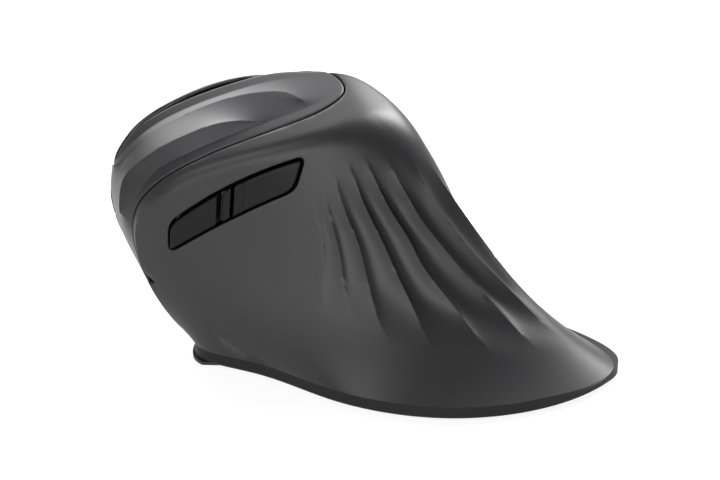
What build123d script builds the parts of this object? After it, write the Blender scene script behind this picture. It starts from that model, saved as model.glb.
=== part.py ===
from build123d import *
import math
import os

# Upright (vertical) wireless mouse for the right hand.
# Millimetres. +Y points forward, away from the user, +X to the palm side, +Z up.
# The pieces are drawn about a point on the desk, and written with the origin on the desk
# under the middle of the whole mouse.

# ---------------------------------------------------------------- body form
foot_height = 0.8      # the glide feet lift the base off the desk
floor = 2.0            # thickness of the base's floor
lip_height = 4.0       # joint between the base and the hand shell
sail_height = 74.0     # height at which the outline has shrunk to the crown stops
wall = 2.0             # wall of the hand shell, the panel and the buttons
seam_gap = 0.35        # gap between neighbouring covers
middle = (-0.44, 0.13) # middle of the whole mouse, seen from above
inner_room = 0.4       # room between the covers and what they enclose

# The body is a sail: its outline shrinks from the skirt at the lip to a narrow crown.
# Each stop of the outline: skirt point, crown point, share of quick flare, power of the
# quick flare, power of the slow lean. Stops run clockwise from the rear, seen from above.
STOPS = [
    ((-19, -60), (-3, -1), 0.30, 5.0, 0.85),
    ((-34, -42), (-9, 1), 0.34, 5.0, 0.78),
    ((-39, -20), (-13.5, 10), 0.50, 5.5, 0.80),
    ((-32, 6), (-15.3, 26), 0.75, 6.0, 0.60),
    ((-20, 26), (-15.3, 41), 1.00, 5.0, 0.35),
    ((-12, 40), (-12.5, 54), 1.00, 3.2, 0.30),
    ((0, 40), (-5, 65.5), 1.00, 6.4, 4.00),
    ((26, 34), (-1, 55), 0.00, 3.0, 1.05),
    ((38, 10), (0.5, 36), 0.00, 3.0, 0.95),
    ((29, -20), (0.5, 14), 0.15, 4.0, 0.90),
    ((8, -42.5), (1.5, 3), 0.38, 5.0, 0.88),
]
SECTIONS = [4, 5.5, 7.5, 10, 13.5, 18, 24, 31, 39, 48, 57, 65, 70, 73]

# Side profile (Y, Z) of the crown at the thumb side, and how the crown climbs across.
crown_x = -13.0
CROWN = [
    (-22, 54), (-12, 60.4), (-4, 63.2), (5, 63.3), (15, 61.4), (25.5, 58.0), (37, 53),
    (44, 48.6), (49, 43.2), (51.7, 38), (52.6, 33), (52.3, 28), (50.6, 21), (47.5, 14),
    (42, 5), (38, -2),
]
climb = Vector(16, 9, 6.4)

# Outline of the top panel seen from above, clockwise from the front of its palm side.
PANEL = [
    (3.0, 64), (3.6, 44), (3.6, 28), (3.2, 14), (1.2, 7), (-4, 4), (-9, 7.5), (-11.8, 15),
    (-12.7, 24), (-12.9, 34), (-12.6, 44), (-10.6, 53), (-7.0, 64),
]
panel_foot = 20.0      # lower end of the panel on the bow

# ---------------------------------------------------------------- palm slope
# Local frame of the buttons: x forward, y up the slope, z out of it.
slope_normal = Vector(0.88, 0.22, 0.42).normalized()
slope_forward = (Vector(0, 1, 0) - slope_normal * slope_normal.Y).normalized()
slope = Plane(origin=(12.6, 38, 42), x_dir=slope_forward, z_dir=slope_normal)

zone_rear = -25.7      # gap between the palm side of the shell and the buttons
zone_low = -24.3       # gap under the lower button
zone_front = 40.0      # past the nose
button_gap = 0.45      # the main buttons also move sideways, so they stand further off
strip_half = 6.0       # half width of the centre strip
wheel_x = -2.0
wheel_z = -4.75
wheel_radius = 11.5
wheel_width = 7.0
hub_radius = 9.0
axle_radius = 1.5
running = 0.06         # radial clearance of pins and axles
slot_room = 0.7        # room round the wheel
board = 1.2            # thickness of the circuit boards
board_top = -10.5      # component side of the button board
board_rear = -22.6
tray = 2.0
pivot_x = -23.7
pivot_z = -6.6
pivot_radius = 1.0
lug_radius = 2.1
click_size = (12.8, 5.8, 6.5)
click_pin = 2.0        # the plunger stands forward of the switch's middle
plunger_rise = 0.7
plunger_gap = 0.15
dpi_x = -20.4
dpi_length = 8.2
dpi_width = 4.2
middle_y = 9.0
tact = 4.4             # side of the small push switches
tact_height = {"dpi": 5.0, "middle": 3.25}
switch_room = 0.4      # between neighbouring switches
click_x = {"left": wheel_x + tact / 2 + switch_room + click_size[0] / 2, "right": -5.5}
click_y = {"left": 9.4, "right": -13.9}
plunger_radius = 1.2
plunger_room = 0.1
plunger_depth = 1.4    # how far a plunger reaches into its switch
board_side = (-18.5, 13.2)
board_front = (6.0, 15.0)          # front ends of the lower and the upper arm
board_slot = (-14.5, 4.4)          # rear end and half width of the wheel's opening
carrier_x = (-17.8, 13.0)
carrier_z = (-9.5, -6.5)
carrier_bar = (3.6, 2.8, 2.0)      # rear, front and side bars
ear = (3.5, -2.2)                  # half length and top of the bearing ears
guide = (-16.0, 4.5, 1.0)          # place and radius of the carrier's guide pins
guide_top = -3.6
encoder_x = (-7.5, 0.2)
encoder_y = (-10.6, -6.9)
encoder_height = 7.3
axle_tip = 1.0         # radius of the tip that turns the encoder
bulkhead = (-25.2, -22.7)
bulkhead_low = 19.5

# ---------------------------------------------------------------- thumb side
# Slot for the two side buttons, (Y, Z), from the front top corner, clockwise.
SLOT = [(44.4, 39.2), (12.8, 55.6), (15.6, 47.9), (45.2, 31.0)]
slot_corner = 1.6
slot_gap = 0.5
split = ((28.9, 48.6), (29.9, 35.2))   # line between the forward and the back button
split_gap = 0.8
side_inner = -12.6     # inner face of the side buttons
spine = (-7.0, -5.4)   # the frame's upright plate
side_switch = (3.4, 6.0)
side_switch_yz = {"forward": (37.5, 39.0), "back": (21.5, 47.6)}
spine_y = (-20.0, 44.0)
spine_low = 10.5
leg = 2.7              # half width of the frame's legs

# ---------------------------------------------------------------- in the base
rim = 3.2              # width of the base's rim
edge_break = 0.5       # chamfer under the base
battery_x = 8.6
battery_y = (-17.0, 33.5)
battery_radius = 7.1
nub = (2.6, 1.0)       # radius and length of the battery's positive end
bay_room = 0.5
bay_wall = 1.2
bay_height = 9.2
spring_space = 2.5
contact = 0.4
door_thick = 1.2
door_edge = 1.0        # the door laps this far past the bay's opening
door_room = 0.2
door_pin = (0.4, 0.8)  # radius and length of the hinge pins
main_board = ((-15.5, -1.0), (-4.0, 29.0))
main_board_z = 5.5
standoff = (2.2, 0.8)  # radii of the board's posts and their pins
standoff_inset = 2.0
sensor = (-6.0, 8.0)
sensor_chip_size = (9.2, 10.0, 2.2)
lens_size = (10.0, 9.0)
window = (7.0, 5.0)
controller = (-8.0, 20.0)
switch_x = -11.0
switch_y = 16.5
knob = 3.6
slider_travel = 3.0
slider_plate = (7.0, 8.0, 0.8)
slide_gap = 0.1
power_body = (3.6, 10.0)
receiver = (-17.0, -16.0)
cap_size = (6.6, 14.6, 6.0)
plug_size = (4.5, 12.0, 12.0)
pocket_room = 0.15
pocket_height = 12.0
post_radius = 3.0
post_top = 4.5
screw_radius = 1.1
screw_head = (2.2, 1.3)
screw_bite = 5.0
FRAME_SCREWS = [(-6.2, -17), (-6.2, 32.6)]
SHELL_SCREWS = [(25, -8), (-20, -38)]
foot_inset = 2.5
foot_width = 4.4
foot_proud = 0.6       # the front foot shows past the base's front edge

base_top = foot_height + floor


# ---------------------------------------------------------------- helpers
def inward(points, amount, closed=True):
    """Move each point of a clockwise outline to its right by amount."""
    before = points[-1:] + points[:-1]
    after = points[1:] + points[:1]
    if not closed:
        before[0] = points[0]
        after[-1] = points[-1]
    moved = []
    for previous, here, following in zip(before, points, after):
        along = (following - previous).normalized()
        moved.append(here + Vector(along.Y, -along.X) * amount)
    return moved


def stops_at(height):
    """Stops of the sail's outline at a height."""
    rise = min(max((height - lip_height) / (sail_height - lip_height), 0.0), 0.999)
    points = []
    for skirt, crown, share, flare, lean in STOPS:
        reach = share * (1 - rise) ** flare + (1 - share) * (1 - rise) ** lean
        points.append(Vector(*crown) + (Vector(*skirt) - Vector(*crown)) * reach)
    return points


def outline(height, inset=0.0, drop=0.0):
    """Stops at a height, moved inward. Where the wall leans in, the outline of a level
    higher by drop is used, so that a sloping wall keeps its thickness."""
    here = stops_at(height)
    above = stops_at(height + drop)
    within = inward(here, 1.0)
    points = [b if (b - a).dot(i - a) > 0 else a for a, b, i in zip(here, above, within)]
    return inward(points, inset)


def stations():
    """Spline parameters of the stops: the distance walked round the skirt."""
    points = outline(lip_height)
    walked = [0.0]
    for here, following in zip(points, points[1:] + points[:1]):
        walked.append(walked[-1] + (following - here).length)
    return walked


def closed_spline(points):
    """Closed curve through the stops, with the same parameters at every height."""
    return Edge.make_spline(points, periodic=True, parameters=stations())


def sail(side_inset, top_inset, bottom):
    """The body's solid, its sides moved in and its crown moved down by the insets."""
    shift = climb * (-60.0 / climb.X)
    profile = inward([Vector(y, z) for y, z in CROWN], top_inset, closed=False)
    profile = [Vector(p.X + shift.Y, p.Y + shift.Z) for p in profile]
    with BuildPart() as body:
        for height in SECTIONS:
            level = bottom if height == SECTIONS[0] else height
            with BuildSketch(Plane.XY.offset(level)):
                with BuildLine():
                    add(closed_spline(outline(height, side_inset, top_inset)))
                make_face()
        loft()
        with BuildSketch(Plane.YZ.offset(crown_x - 60.0)):
            with BuildLine():
                Spline(*profile)
                last = profile[-1]
                first = profile[0]
                Polyline(last, (last.X, -80), (160, -80), (160, 160), (first.X, 160), first)
            make_face()
        extrude(amount=climb.length / climb.X * 120.0, dir=climb, mode=Mode.SUBTRACT)
    return body.part


def block(plane, x, y, z, mode=Mode.ADD):
    """Box on a plane, from its limits along the plane's own axes."""
    with BuildSketch(plane.offset(z[0])) as face:
        with Locations(((x[0] + x[1]) / 2, (y[0] + y[1]) / 2)):
            Rectangle(x[1] - x[0], y[1] - y[0])
    extrude(face.sketch, amount=z[1] - z[0], mode=mode)


def rod(plane, centre, radius, z, mode=Mode.ADD):
    """Cylinder along a plane's normal."""
    with BuildSketch(plane.offset(z[0])) as face:
        with Locations(centre):
            Circle(radius)
    extrude(face.sketch, amount=z[1] - z[0], mode=mode)


def cross_rod(centre, radius, y, mode=Mode.ADD):
    """Cylinder along the slope's y axis; centre is its local (x, z)."""
    origin = slope.from_local_coords((centre[0], y[0], centre[1]))
    rod(Plane(origin=origin, x_dir=slope.z_dir, z_dir=slope.y_dir), (0, 0), radius,
        (0, y[1] - y[0]), mode)


def finish(piece, name):
    """Move a piece so that the middle of the mouse is at the origin, label and write it."""
    placed = piece.part.moved(Location((-middle[0], -middle[1], 0)))
    placed.label = name
    export_step(placed, "parts/" + name + ".step")


def panel_prism(gap):
    """Upright prism over the top panel's outline, grown by gap; it ends at panel_foot."""
    points = inward([Vector(*p) for p in PANEL], -gap, closed=False)
    with BuildPart() as prism:
        with BuildSketch(Plane.XY.offset(panel_foot - gap)):
            with BuildLine():
                Spline(*points)
                Line(points[-1], points[0])
            make_face()
        extrude(amount=80)
    return prism.part


def palm_side(gap):
    """Everything on the palm side of the panel's outline grown by gap, an upright prism."""
    points = inward([Vector(*p) for p in PANEL], -gap, closed=False)[:4]
    with BuildPart() as prism:
        with BuildSketch(Plane.XY):
            with BuildLine():
                Polyline(*points, (points[-1].X, -20), (60, -20), (60, 64), points[0])
            make_face()
        extrude(amount=90)
    return prism.part


os.makedirs("parts", exist_ok=True)

outer = sail(0.0, 0.0, lip_height)
cavity = sail(wall, wall, lip_height - 0.5)
room = sail(wall + inner_room, wall + inner_room, lip_height - 0.5)
palm = palm_side(button_gap)

with BuildPart() as skin:
    add(outer)
    add(cavity, mode=Mode.SUBTRACT)

# ---------------------------------------------------------------- covers
with BuildPart() as button_zone:
    block(slope, (zone_rear, zone_front), (zone_low, 60), (-45, 25))
    add(palm_side(0.0), mode=Mode.INTERSECT)

with BuildPart() as slot_prism:
    with BuildSketch(Plane.YZ.offset(-30)):
        with BuildLine():
            Polyline(*SLOT, close=True)
        make_face()
    extrude(amount=30 + side_inner + 2)
    fillet(slot_prism.edges().filter_by(Axis.X), slot_corner)

with BuildPart() as hand_shell:
    add(skin.part)
    add(panel_prism(0.0), mode=Mode.SUBTRACT)
    add(button_zone.part, mode=Mode.SUBTRACT)
    add(slot_prism.part, mode=Mode.SUBTRACT)
    for x, y in SHELL_SCREWS:
        with BuildPart(mode=Mode.PRIVATE) as boss:
            rod(Plane.XY, (x, y), 3.0, (post_top, 40))
            add(outer, mode=Mode.INTERSECT)
        add(boss.part)
        rod(Plane.XY, (x, y), screw_radius + 0.02, (post_top, post_top + 5), Mode.SUBTRACT)
finish(hand_shell, "hand_shell")

with BuildPart() as top_panel:
    add(skin.part)
    add(panel_prism(-seam_gap), mode=Mode.INTERSECT)
finish(top_panel, "top_panel")


def button_cover(low, high):
    """Cover over the palm slope between two heights up the slope."""
    with BuildPart() as cover:
        add(skin.part)
        add(palm, mode=Mode.INTERSECT)
        with BuildPart(mode=Mode.PRIVATE) as cutter:
            block(slope, (zone_rear + seam_gap, zone_front), (low, high), (-45, 25))
        add(cutter.part, mode=Mode.INTERSECT)
    return cover.part


def button_lugs(places):
    """Ears that hang a button on the pivot pin, and stay inside the body."""
    with BuildPart() as lugs:
        for y in places:
            cross_rod((pivot_x, pivot_z), lug_radius, (y - 1.25, y + 1.25))
            block(slope, (pivot_x - 1.4, pivot_x + 1.4), (y - 1.25, y + 1.25), (pivot_z, 8))
            cross_rod((pivot_x, pivot_z), pivot_radius + running, (y - 2, y + 2), Mode.SUBTRACT)
        add(outer, mode=Mode.INTERSECT)
    return lugs.part


def click_post(side):
    """Post from a button down to the plunger of its switch."""
    low = board_top + click_size[2] + plunger_rise + plunger_gap
    with BuildPart() as post:
        rod(slope, (click_x[side] + click_pin, click_y[side]), 2.0, (low, 12))
        add(outer, mode=Mode.INTERSECT)
    return post.part


with BuildPart() as left_button:
    add(button_cover(strip_half + seam_gap, 60))
    add(button_lugs((8, 15)))
    add(click_post("left"))
finish(left_button, "left_button")

with BuildPart() as right_button:
    add(button_cover(zone_low + seam_gap, -strip_half - seam_gap))
    add(button_lugs((-8, -15)))
    add(click_post("right"))
finish(right_button, "right_button")

with BuildPart() as centre_strip:
    add(button_cover(-strip_half, strip_half))
    block(slope, (wheel_x - wheel_radius - slot_room, wheel_x + wheel_radius + slot_room),
          (-wheel_width / 2 - slot_room, wheel_width / 2 + slot_room), (-20, 20), Mode.SUBTRACT)
    with BuildSketch(slope.offset(-20)):
        with Locations((dpi_x, 0)):
            SlotOverall(dpi_length + 2 * seam_gap, dpi_width + 2 * seam_gap)
    extrude(amount=40, mode=Mode.SUBTRACT)
finish(centre_strip, "centre_strip")

with BuildPart() as dpi_button:
    with BuildSketch(slope.offset(-2.6)):
        with Locations((dpi_x, 0)):
            SlotOverall(dpi_length, dpi_width)
    extrude(amount=20)
    add(outer, mode=Mode.INTERSECT)
    rod(slope, (dpi_x, 0), 1.4, (board_top + tact_height["dpi"] + plunger_rise + plunger_gap, -2.6))
finish(dpi_button, "dpi_button")


def side_cover(front):
    """One of the two side buttons, cut from the thumb wall with a thicker back."""
    (top_y, top_z), (low_y, low_z) = split
    reach = split_gap / 2
    far = 60 if front else -60
    shift = reach if front else -reach
    with BuildPart() as cover:
        with BuildSketch(Plane.YZ.offset(-30)):
            with BuildLine():
                Polyline(*SLOT, close=True)
            make_face()
            offset(amount=-slot_gap, kind=Kind.INTERSECTION)
        extrude(amount=30 + side_inner)
        fillet(cover.edges().filter_by(Axis.X), slot_corner - slot_gap)
        with BuildPart(mode=Mode.PRIVATE) as half:
            with BuildSketch(Plane.YZ.offset(-31)):
                with BuildLine():
                    Polyline((top_y + shift, top_z + 12), (top_y + far, top_z + 12),
                             (low_y + far, low_z - 12), (low_y + shift, low_z - 12), close=True)
                make_face()
            extrude(amount=40)
        add(half.part, mode=Mode.INTERSECT)
        add(outer, mode=Mode.INTERSECT)
    return cover.part


with BuildPart() as forward_button:
    add(side_cover(True))
finish(forward_button, "forward_button")

with BuildPart() as back_button:
    add(side_cover(False))
finish(back_button, "back_button")

# ---------------------------------------------------------------- base
bay_half = battery_radius + bay_room
bay_y = (battery_y[0] - spring_space, battery_y[1] + contact)
battery_z = base_top + 0.5 + battery_radius
door_half = battery_radius + 0.3 + door_edge
door_y = (bay_y[0] - 0.6, bay_y[1] + door_edge)
door_top = foot_height + door_thick
hinge_z = foot_height + door_thick / 2
left_x, right_x = main_board[0]
rear_y, front_y = main_board[1]
STANDOFFS = [(left_x + standoff_inset, rear_y + standoff_inset),
             (left_x + standoff_inset, front_y - standoff_inset),
             (right_x - standoff_inset, rear_y + standoff_inset),
             (right_x - standoff_inset, front_y - standoff_inset)]


def around(centre, size, room=0.0):
    """Limits of a span of a given size about a centre, grown by room at both ends."""
    return centre - size / 2 - room, centre + size / 2 + room


def foot_band(inset, width, x, y):
    """Glide foot: a band that follows the footprint, kept between limits in x and y."""
    with BuildPart() as band:
        with BuildSketch():
            with BuildLine():
                add(closed_spline(outline(lip_height, inset)))
            make_face()
            with BuildLine():
                add(closed_spline(outline(lip_height, inset + width)))
            make_face(mode=Mode.SUBTRACT)
        extrude(amount=foot_height)
        with BuildPart(mode=Mode.PRIVATE) as limits:
            block(Plane.XY, x, y, (-1, 2))
        add(limits.part, mode=Mode.INTERSECT)
    return band.part


with BuildPart() as base_shell:
    with BuildSketch(Plane.XY.offset(foot_height)):
        with BuildLine():
            add(closed_spline(outline(lip_height)))
        make_face()
    extrude(amount=lip_height - foot_height)
    chamfer(base_shell.faces().sort_by(Axis.Z)[0].edges(), edge_break)
    with BuildSketch(Plane.XY.offset(base_top)):
        with BuildLine():
            add(closed_spline(outline(lip_height, rim)))
        make_face()
    extrude(amount=10, mode=Mode.SUBTRACT)
    for x, y in STANDOFFS:
        rod(Plane.XY, (x, y), standoff[0], (base_top, main_board_z))
        rod(Plane.XY, (x, y), standoff[1], (main_board_z, main_board_z + board))
    for x, y in FRAME_SCREWS + SHELL_SCREWS:
        rod(Plane.XY, (x, y), post_radius, (base_top, post_top))
        rod(Plane.XY, (x, y), screw_head[0] + 0.2, (0, foot_height + screw_head[1]),
            Mode.SUBTRACT)
        rod(Plane.XY, (x, y), screw_radius + 0.1, (0, post_top), Mode.SUBTRACT)
    # battery bay, its opening, and the recess of its door
    block(Plane.XY, (battery_x - bay_half - bay_wall, battery_x + bay_half + bay_wall),
          (bay_y[0] - bay_wall, bay_y[1] + bay_wall), (base_top, bay_height))
    block(Plane.XY, (battery_x - bay_half, battery_x + bay_half), bay_y,
          (base_top, bay_height), Mode.SUBTRACT)
    block(Plane.XY, around(battery_x, 2 * (door_half - door_edge)), bay_y, (0, base_top + 1),
          Mode.SUBTRACT)
    block(Plane.XY, around(battery_x, 2 * door_half, door_room),
          (door_y[0] - door_thick / 2 - door_room, door_y[1] + door_room),
          (0, door_top + 0.05), Mode.SUBTRACT)
    rod(Plane(origin=(battery_x, door_y[0], hinge_z), x_dir=(0, 1, 0), z_dir=(1, 0, 0)),
        (0, 0), door_pin[0] + 0.05, (-door_half - 1, door_half + 1), Mode.SUBTRACT)
    rod(Plane.XY, (battery_x, door_y[1] + 0.8), 2.2, (0, foot_height + 0.7), Mode.SUBTRACT)
    # sensor window, slot of the power slider
    block(Plane.XY, around(sensor[0], window[0]), around(sensor[1], window[1]),
          (0, base_top), Mode.SUBTRACT)
    block(Plane.XY, around(switch_x, knob, 0.2),
          (switch_y - knob / 2 - 0.2, switch_y + slider_travel + knob / 2 + 0.2),
          (0, base_top), Mode.SUBTRACT)
    # upright pocket of the receiver
    block(Plane.XY, around(receiver[0], cap_size[0], pocket_room + bay_wall),
          around(receiver[1], cap_size[1], pocket_room + bay_wall), (base_top, pocket_height))
    block(Plane.XY, around(receiver[0], cap_size[0], pocket_room),
          around(receiver[1], cap_size[1], pocket_room), (0, pocket_height), Mode.SUBTRACT)
finish(base_shell, "base_shell")

with BuildPart() as battery_door:
    block(Plane.XY, around(battery_x, 2 * door_half), door_y, (foot_height, door_top))
    hinge_line = Plane(origin=(battery_x, door_y[0], hinge_z), x_dir=(0, 1, 0), z_dir=(1, 0, 0))
    rod(hinge_line, (0, 0), door_thick / 2, (-door_half, door_half))
    rod(hinge_line, (0, 0), door_pin[0], (-door_half - door_pin[1], door_half + door_pin[1]))
finish(battery_door, "battery_door")

with BuildPart() as battery:
    barrel = Plane(origin=(battery_x, battery_y[0], battery_z), x_dir=(1, 0, 0),
                   z_dir=(0, 1, 0))
    length = battery_y[1] - battery_y[0]
    rod(barrel, (0, 0), battery_radius, (0, length - nub[1]))
    rod(barrel, (0, 0), nub[0], (length - nub[1], length))
finish(battery, "battery")

with BuildPart() as battery_plate:
    block(Plane.XY, around(battery_x, 9), (bay_y[1] - contact, bay_y[1]), (base_top, bay_height + 3))
finish(battery_plate, "battery_plate")

with BuildPart() as battery_spring:
    block(Plane.XY, around(battery_x, 9), (bay_y[0], bay_y[0] + contact),
          (base_top, bay_height + 3))
    coil_height = spring_space - contact
    for turn in range(3):
        seat = bay_y[0] + contact + coil_height * turn / 3
        ring = Plane(origin=(battery_x, seat, battery_z), x_dir=(1, 0, 0), z_dir=(0, 1, 0))
        with BuildSketch(ring) as coil:
            Circle(4.0 - turn)
            Circle(3.0 - turn, mode=Mode.SUBTRACT)
        extrude(coil.sketch, amount=coil_height / 3)
finish(battery_spring, "battery_spring")

with BuildPart() as main_circuit_board:
    block(Plane.XY, main_board[0], main_board[1], (main_board_z, main_board_z + board))
    for x, y in STANDOFFS:
        rod(Plane.XY, (x, y), standoff[1] + 0.05, (main_board_z, main_board_z + board),
            Mode.SUBTRACT)
    block(Plane.XY, around(sensor[0], 4), around(sensor[1], 4),
          (main_board_z, main_board_z + board), Mode.SUBTRACT)
finish(main_circuit_board, "main_circuit_board")
main_top = main_board_z + board

with BuildPart() as sensor_chip:
    block(Plane.XY, around(sensor[0], sensor_chip_size[0]), around(sensor[1], sensor_chip_size[1]),
          (main_top, main_top + sensor_chip_size[2]))
finish(sensor_chip, "sensor_chip")

with BuildPart() as sensor_lens:
    block(Plane.XY, around(sensor[0], lens_size[0]), around(sensor[1], lens_size[1]),
          (base_top, main_board_z))
    block(Plane.XY, around(sensor[0], window[0], -0.2), around(sensor[1], window[1], -0.2),
          (foot_height + 0.8, base_top))
finish(sensor_lens, "sensor_lens")

with BuildPart() as controller_chip:
    block(Plane.XY, around(controller[0], 6), around(controller[1], 6), (main_top, main_top + 1))
finish(controller_chip, "controller_chip")

slider_low = base_top + slide_gap
slider_high = slider_low + slider_plate[2]
with BuildPart() as power_slider:
    block(Plane.XY, around(switch_x, slider_plate[0]), around(switch_y, slider_plate[1]),
          (slider_low, slider_high))
    block(Plane.XY, around(switch_x, knob), around(switch_y, knob),
          (foot_height + 0.3, slider_low))
    block(Plane.XY, around(switch_x, 1.2), around(switch_y, 1.2),
          (slider_high, main_board_z - 0.7))
finish(power_slider, "power_slider")

with BuildPart() as power_switch:
    block(Plane.XY, around(switch_x, power_body[0]),
          around(switch_y + slider_travel / 2, power_body[1]), (slider_high + 0.2, main_board_z))
    block(Plane.XY, around(switch_x, 1.2, 0.1),
          (switch_y - 0.7, switch_y + slider_travel + 0.7), (slider_high, main_board_z - 0.4),
          Mode.SUBTRACT)
finish(power_switch, "power_switch")

cap_top = foot_height + 0.2 + cap_size[2]
with BuildPart() as receiver_cap:
    block(Plane.XY, around(receiver[0], cap_size[0]), around(receiver[1], cap_size[1]),
          (foot_height + 0.2, cap_top))
finish(receiver_cap, "receiver_cap")

with BuildPart() as receiver_plug:
    block(Plane.XY, around(receiver[0], plug_size[0]), around(receiver[1], plug_size[1]),
          (cap_top, cap_top + plug_size[2]))
    block(Plane.XY, around(receiver[0] + 0.6, plug_size[0] - 2), around(receiver[1], 11.2),
          (cap_top + 2, cap_top + plug_size[2]), Mode.SUBTRACT)
finish(receiver_plug, "receiver_plug")

with BuildPart() as front_foot:
    add(foot_band(-foot_proud, foot_width, (-15, 12), (25, 60)))
finish(front_foot, "front_foot")

with BuildPart() as rear_foot:
    add(foot_band(foot_inset, foot_width, (-34, -8), (-70, -42)))
finish(rear_foot, "rear_foot")

with BuildPart() as side_foot:
    add(foot_band(foot_inset, foot_width, (20, 60), (-4, 22)))
finish(side_foot, "side_foot")

with BuildPart() as base_screws:
    head_top = foot_height + screw_head[1]
    for x, y in FRAME_SCREWS + SHELL_SCREWS:
        rod(Plane.XY, (x, y), screw_head[0], (foot_height + 0.1, head_top))
        rod(Plane.XY, (x, y), screw_radius, (head_top, post_top + screw_bite - 0.3))
finish(base_screws, "base_screws")

# ---------------------------------------------------------------- inner frame and boards
board_low = board_top - board
KNUCKLES = (-11.5, -4.2, 4.2, 11.5)


def board_outline(z, mode=Mode.ADD):
    """Two-armed plate under the buttons, open at the front for the wheel."""
    block(slope, (board_rear, board_front[1]), board_side, z, mode)
    block(slope, (board_front[0], board_front[1] + 1), (board_side[0] - 1, board_slot[1]), z,
          Mode.SUBTRACT)
    block(slope, (board_slot[0], board_front[1] + 1), (-board_slot[1], board_slot[1]), z,
          Mode.SUBTRACT)


with BuildPart() as inner_frame:
    board_outline((board_low - tray, board_low))
    block(slope, bulkhead, (-40, 40), (-45, pivot_z - lug_radius - 0.7))
    for y in KNUCKLES:
        block(slope, bulkhead, around(y, 2.6), (pivot_z - lug_radius - 0.7, pivot_z))
        cross_rod((pivot_x, pivot_z), lug_radius - 0.3, around(y, 2.6))
    for side in (-1, 1):
        rod(slope, (guide[0], side * guide[1]), guide[2], (board_low - tray, guide_top))
    with BuildPart(mode=Mode.PRIVATE) as above:
        block(Plane.XY, (spine[0], 60), (-60, 80), (bulkhead_low, 90))
    add(above.part, mode=Mode.INTERSECT)
    block(Plane.XY, spine, spine_y, (spine_low, 90))
    add(room, mode=Mode.INTERSECT)
    for x, y in FRAME_SCREWS:
        block(Plane.XY, (x - leg, x + leg), (y - leg, y + leg), (post_top, spine_low + 1))
        rod(Plane.XY, (x, y), screw_radius + 0.02, (post_top, post_top + screw_bite),
            Mode.SUBTRACT)
    cross_rod((pivot_x, pivot_z), pivot_radius, (-20, 20), Mode.SUBTRACT)
finish(inner_frame, "inner_frame")

with BuildPart() as pivot_pin:
    cross_rod((pivot_x, pivot_z), pivot_radius, (-17, 17))
finish(pivot_pin, "pivot_pin")

with BuildPart() as button_board:
    board_outline((board_low, board_top))
    add(room, mode=Mode.INTERSECT)
    for side in (-1, 1):
        rod(slope, (guide[0], side * guide[1]), guide[2], (board_low, board_top), Mode.SUBTRACT)
finish(button_board, "button_board")

with BuildPart() as side_board:
    with BuildSketch(Plane.YZ.offset(spine[0] - board)):
        with BuildLine():
            Polyline(*SLOT, close=True)
        make_face()
        offset(amount=-0.8, kind=Kind.INTERSECTION)
    extrude(amount=board)
finish(side_board, "side_board")

# ---------------------------------------------------------------- switches and plungers
click_top = board_top + click_size[2]


def switch_bore(plane, centre, radius, top):
    """Blind hole that a plunger slides in."""
    depth = plunger_depth + plunger_rise + 0.2
    rod(plane, centre, radius + plunger_room, (top - depth, top), Mode.SUBTRACT)


def plunger(plane, centre, radius, top, name, rise=plunger_rise):
    """Plunger that stands out of a switch."""
    with BuildPart() as pin:
        rod(plane, centre, radius, (top - plunger_depth, top + rise))
    finish(pin, name)


with BuildPart() as click_switches:
    for side in ("left", "right"):
        block(slope, around(click_x[side], click_size[0]), around(click_y[side], click_size[1]),
              (board_top, click_top))
        switch_bore(slope, (click_x[side] + click_pin, click_y[side]), plunger_radius, click_top)
finish(click_switches, "click_switches")
for side in ("left", "right"):
    plunger(slope, (click_x[side] + click_pin, click_y[side]), plunger_radius, click_top,
            side + "_plunger")

TACTS = {"dpi": (dpi_x, 0.0), "middle": (wheel_x, middle_y)}
for place, (x, y) in TACTS.items():
    top = board_top + tact_height[place]
    with BuildPart() as push_switch:
        block(slope, around(x, tact), around(y, tact), (board_top, top))
        switch_bore(slope, (x, y), plunger_radius, top)
    finish(push_switch, place + "_switch")
    plunger(slope, (x, y), plunger_radius, top, place + "_plunger")

side_plane = Plane(origin=(spine[0] - board, 0, 0), x_dir=(0, -1, 0), z_dir=(-1, 0, 0))
with BuildPart() as side_switches:
    for y, z in side_switch_yz.values():
        block(side_plane, around(-y, side_switch[1]), around(z, side_switch[1]),
              (0, side_switch[0]))
        switch_bore(side_plane, (-y, z), plunger_radius, side_switch[0])
finish(side_switches, "side_switches")
side_rise = (spine[0] - board - side_switch[0]) - side_inner - plunger_gap
for place, (y, z) in side_switch_yz.items():
    plunger(side_plane, (-y, z), plunger_radius, side_switch[0], place + "_plunger", side_rise)

# ---------------------------------------------------------------- scroll wheel
with BuildPart() as wheel_hub:
    cross_rod((wheel_x, wheel_z), hub_radius, (-wheel_width / 2, wheel_width / 2))
    cross_rod((wheel_x, wheel_z), axle_radius, (encoder_y[1] + 0.3, middle_y + 1.5))
    cross_rod((wheel_x, wheel_z), axle_tip, (encoder_y[1] - 2.3, encoder_y[1] + 0.3))
finish(wheel_hub, "wheel_hub")

with BuildPart() as wheel_tyre:
    cross_rod((wheel_x, wheel_z), wheel_radius, (-wheel_width / 2, wheel_width / 2))
    cross_rod((wheel_x, wheel_z), hub_radius, (-wheel_width, wheel_width), Mode.SUBTRACT)
finish(wheel_tyre, "wheel_tyre")

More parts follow.
